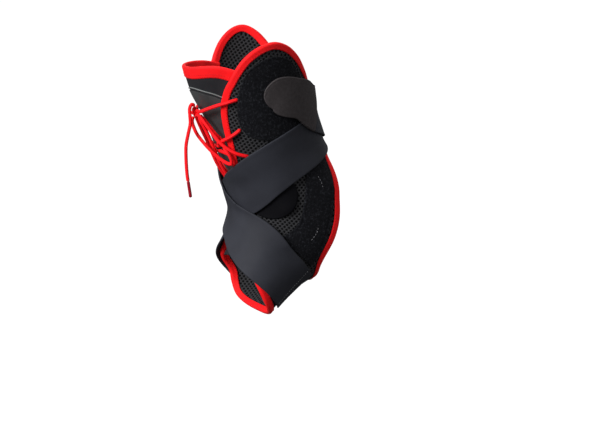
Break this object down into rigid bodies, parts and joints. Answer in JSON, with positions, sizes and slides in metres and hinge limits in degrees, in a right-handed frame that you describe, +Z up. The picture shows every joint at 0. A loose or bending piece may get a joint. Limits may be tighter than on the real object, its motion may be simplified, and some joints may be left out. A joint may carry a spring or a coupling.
{
  "type": "ankle brace",
  "caption": "Lace-up ankle brace with padded mesh sides, soft tongue, open heel and elastic straps that cross over the instep, shaped as worn on a right foot.",
  "frame": {"origin": "centre of the ankle that the brace sits on, between the two ankle bones", "axes": "+Z up, toes towards -X, heel towards +X, the inner (medial) side of the right foot towards -Y"},
  "size_m": [0.1167, 0.0955, 0.2218],
  "materials": {
    "mesh": "open spacer mesh",
    "binding_tape": "woven tape, sewn",
    "loop_fabric": "brushed loop pile",
    "pad_cover": "smooth stretch cover",
    "tongue_foam": "knit over foam",
    "leatherette": "semi-gloss coated",
    "strap_elastic": "woven elastic",
    "tab_fabric": "ribbed, hook-backed",
    "lace_cord": "braided round cord",
    "lace_tip": "smooth film"
  },
  "bodies": {
    "root": {"side_panel_medial": "mesh", "side_panel_lateral": "mesh", "edge_binding_medial": "binding_tape", "edge_binding_lateral": "binding_tape", "heel_binding_medial": "binding_tape", "heel_binding_lateral": "binding_tape", "loop_patch_upper_medial": "loop_fabric", "loop_patch_upper_lateral": "loop_fabric", "loop_patch_lower_medial": "loop_fabric", "loop_patch_lower_lateral": "loop_fabric", "ankle_pad_medial": "pad_cover", "ankle_pad_lateral": "pad_cover", "tongue": "tongue_foam", "tongue_overlay": "leatherette", "tongue_binding": "binding_tape", "strap_inner": "strap_elastic", "strap_outer": "strap_elastic", "tab_medial": "tab_fabric", "tab_lateral": "tab_fabric", "lace_top_medial": "lace_cord", "lace_long_medial": "lace_cord", "lace_cross_upper": "lace_cord", "lace_cross_lower": "lace_cord", "lace_top_lateral": "lace_cord", "lace_long_lateral": "lace_cord", "bow_loop_front": "lace_cord", "bow_loop_tucked": "lace_cord", "lace_knot": "lace_cord", "lace_end": "lace_cord", "lace_tip": "lace_tip"}
  },
  "joints": []
}
